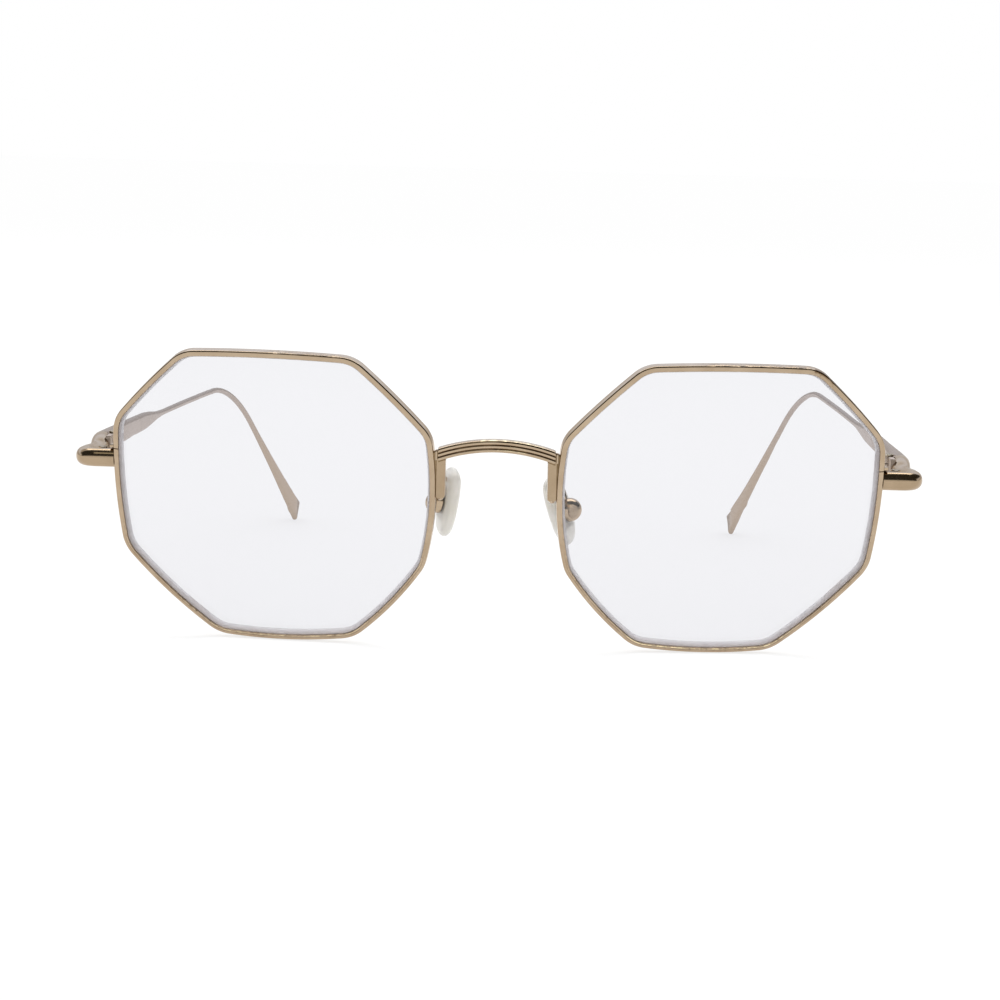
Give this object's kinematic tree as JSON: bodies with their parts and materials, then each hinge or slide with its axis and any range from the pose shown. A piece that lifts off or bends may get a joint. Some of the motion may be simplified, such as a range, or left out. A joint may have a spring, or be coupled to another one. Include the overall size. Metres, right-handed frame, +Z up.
{
  "type": "eyeglasses",
  "caption": "Octagonal full-rim metal eyeglasses with a ridged arched bridge, folding wire temples with flat tips, and rocking silicone nose pads.",
  "frame": {"origin": "on the surface that the glasses stand on, below the middle of their length and width", "axes": "+X towards the wearer's left, +Y back along the temples, +Z up"},
  "size_m": [0.1364, 0.1504, 0.0479],
  "materials": {
    "frame_gold": "polished champagne-gold plating on a nickel alloy",
    "temple_metal": "satin rose-gold plating on a nickel alloy",
    "lens_clear": "clear polished plastic",
    "pad_silicone": "clear soft silicone",
    "insert_metal": "plain steel, seen through the pad",
    "screw_metal": "plated steel screws"
  },
  "bodies": {
    "front": {"bridge": "frame_gold", "left_rim": "frame_gold", "left_lens": "lens_clear", "left_upper_lug": "frame_gold", "left_lower_lug": "frame_gold", "left_closing_screw": "screw_metal", "left_end_piece": "frame_gold", "left_front_hinge": "frame_gold", "left_hinge_screw": "screw_metal", "left_pad_arm": "frame_gold", "left_pad_box": "frame_gold", "left_pad_screw": "screw_metal", "right_rim": "frame_gold", "right_lens": "lens_clear", "right_upper_lug": "frame_gold", "right_lower_lug": "frame_gold", "right_closing_screw": "screw_metal", "right_end_piece": "frame_gold", "right_front_hinge": "frame_gold", "right_hinge_screw": "screw_metal", "right_pad_arm": "frame_gold", "right_pad_box": "frame_gold", "right_pad_screw": "screw_metal"},
    "left_temple": {"left_temple_hinge": "frame_gold", "left_temple": "temple_metal"},
    "right_temple": {"right_temple_hinge": "frame_gold", "right_temple": "temple_metal"},
    "left_pad": {"left_pad_insert": "insert_metal", "left_pad": "pad_silicone"},
    "right_pad": {"right_pad_insert": "insert_metal", "right_pad": "pad_silicone"}
  },
  "joints": [
    {"name": "left_temple_fold", "type": "hinge", "parent": "front", "child": "left_temple", "pos_m": [0.06392, -0.05099, 0.02985], "axis": [0, 0, 1], "range_deg": [0, 84]},
    {"name": "right_temple_fold", "type": "hinge", "parent": "front", "child": "right_temple", "pos_m": [-0.06392, -0.05099, 0.02985], "axis": [0, 0, -1], "range_deg": [0, 76]},
    {"name": "left_pad_rock", "type": "hinge", "parent": "front", "child": "left_pad", "pos_m": [0.01218, -0.06198, 0.02286], "axis": [0.3213, 0.9374, 0.1344], "range_deg": [-8, 8]},
    {"name": "right_pad_rock", "type": "hinge", "parent": "front", "child": "right_pad", "pos_m": [-0.01009, -0.06225, 0.02332], "axis": [-0.2756, 0.9513, 0.1384], "range_deg": [-8, 8]}
  ]
}
